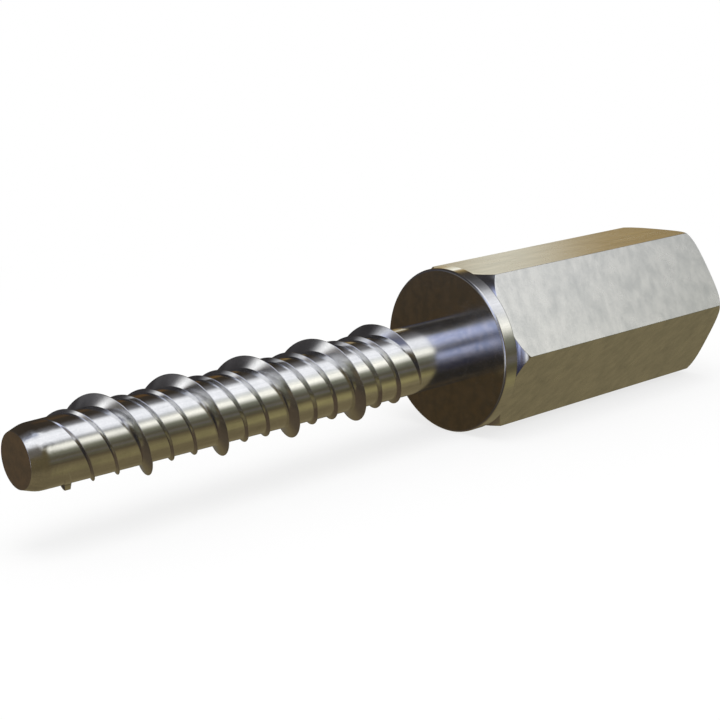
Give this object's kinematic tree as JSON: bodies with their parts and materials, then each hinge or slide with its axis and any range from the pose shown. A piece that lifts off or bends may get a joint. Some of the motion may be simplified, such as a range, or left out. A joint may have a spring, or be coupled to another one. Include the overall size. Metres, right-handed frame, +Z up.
{
  "type": "threaded screw anchor",
  "caption": "Concrete screw anchor with a tapered threaded shank, a round collar and a long hexagon head whose free end has a stepped threaded socket.",
  "frame": {"origin": "on the screw axis at the collar's bearing face, the plane that seats on the wall", "axes": "+X along the screw axis towards the hexagon's free end, -X towards the tip of the shank, +Z up, with one flat of the hexagon facing down"},
  "size_m": [0.0694, 0.015, 0.014],
  "materials": {
    "zinc_plated_steel": "bright zinc plating over rolled steel, smooth with a fine mottle"
  },
  "bodies": {
    "root": {"screw_anchor": "zinc_plated_steel"}
  },
  "joints": []
}
